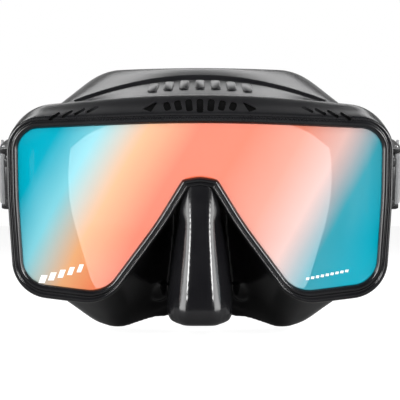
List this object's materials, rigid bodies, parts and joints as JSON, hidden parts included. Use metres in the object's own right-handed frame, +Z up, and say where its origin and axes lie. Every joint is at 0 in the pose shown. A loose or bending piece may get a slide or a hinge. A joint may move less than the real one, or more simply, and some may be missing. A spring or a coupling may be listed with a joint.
{
  "type": "diving mask",
  "caption": "Single-lens diving mask: a black silicone skirt with a nose pocket round a coated flat lens, swivelling quick-adjust buckles and a split head strap.",
  "frame": {"origin": "on the lens's front face, on the centreline, midway between its brow edge and the top of its nose notch", "axes": "-Y points forward out of the lens, +Y towards the wearer, +Z up, +X to the wearer's left as seen from behind the mask"},
  "size_m": [0.1814, 0.2018, 0.1278],
  "materials": {
    "skirt_silicone": "glossy moulded silicone",
    "coated_glass": "polished, mirror coated",
    "hard_plastic": "glossy moulded plastic",
    "lever_plastic": "fine matt grip",
    "strap_silicone": "satin moulded silicone",
    "steel": "ground"
  },
  "bodies": {
    "mask": {"skirt": "skirt_silicone", "lens": "coated_glass", "stiffening_ring": "hard_plastic", "strap_band": "strap_silicone", "left_buckle_base": "hard_plastic", "left_swivel_pin": "steel", "right_buckle_base": "hard_plastic", "right_swivel_pin": "steel"},
    "left_buckle": {"left_buckle_frame": "hard_plastic", "left_lever_pin": "steel", "left_leaf_spring": "steel", "left_strap_end": "strap_silicone"},
    "left_roller": {"left_roller": "hard_plastic"},
    "left_lever": {"left_release_lever": "lever_plastic"},
    "left_keeper": {"left_strap_keeper": "strap_silicone"},
    "right_buckle": {"right_buckle_frame": "hard_plastic", "right_lever_pin": "steel", "right_leaf_spring": "steel", "right_strap_end": "strap_silicone"},
    "right_roller": {"right_roller": "hard_plastic"},
    "right_lever": {"right_release_lever": "lever_plastic"},
    "right_keeper": {"right_strap_keeper": "strap_silicone"}
  },
  "joints": [
    {"name": "left_buckle_swivel", "type": "hinge", "parent": "mask", "child": "left_buckle", "pos_m": [-0.0835, 0.019, -0.0135], "axis": [0, -0.309, 0.9511], "range_deg": [-8, 25]},
    {"name": "left_roller_turn", "type": "hinge", "parent": "left_buckle", "child": "left_roller", "pos_m": [-0.0835, 0.03517, -0.00825], "axis": [0, -0.309, 0.9511], "continuous": true},
    {"name": "left_lever_release", "type": "hinge", "parent": "left_buckle", "child": "left_lever", "pos_m": [-0.0871, 0.02623, -0.01115], "axis": [0, -0.309, 0.9511], "range_deg": [0, 10], "stiffness_Nm_per_rad": 0.05, "springref_deg": -8.59},
    {"name": "left_keeper_slide", "type": "slide", "parent": "left_buckle", "child": "left_keeper", "axis": [0, 0.9511, 0.309], "range_m": [0, 0.007]},
    {"name": "right_buckle_swivel", "type": "hinge", "parent": "mask", "child": "right_buckle", "pos_m": [0.0835, 0.019, -0.0135], "axis": [0, 0.309, -0.9511], "range_deg": [-8, 25]},
    {"name": "right_roller_turn", "type": "hinge", "parent": "right_buckle", "child": "right_roller", "pos_m": [0.0835, 0.03517, -0.00825], "axis": [0, 0.309, -0.9511], "continuous": true},
    {"name": "right_lever_release", "type": "hinge", "parent": "right_buckle", "child": "right_lever", "pos_m": [0.0871, 0.02623, -0.01115], "axis": [0, 0.309, -0.9511], "range_deg": [0, 10], "stiffness_Nm_per_rad": 0.05, "springref_deg": -8.59},
    {"name": "right_keeper_slide", "type": "slide", "parent": "right_buckle", "child": "right_keeper", "axis": [0, 0.9511, 0.309], "range_m": [0, 0.007]}
  ]
}
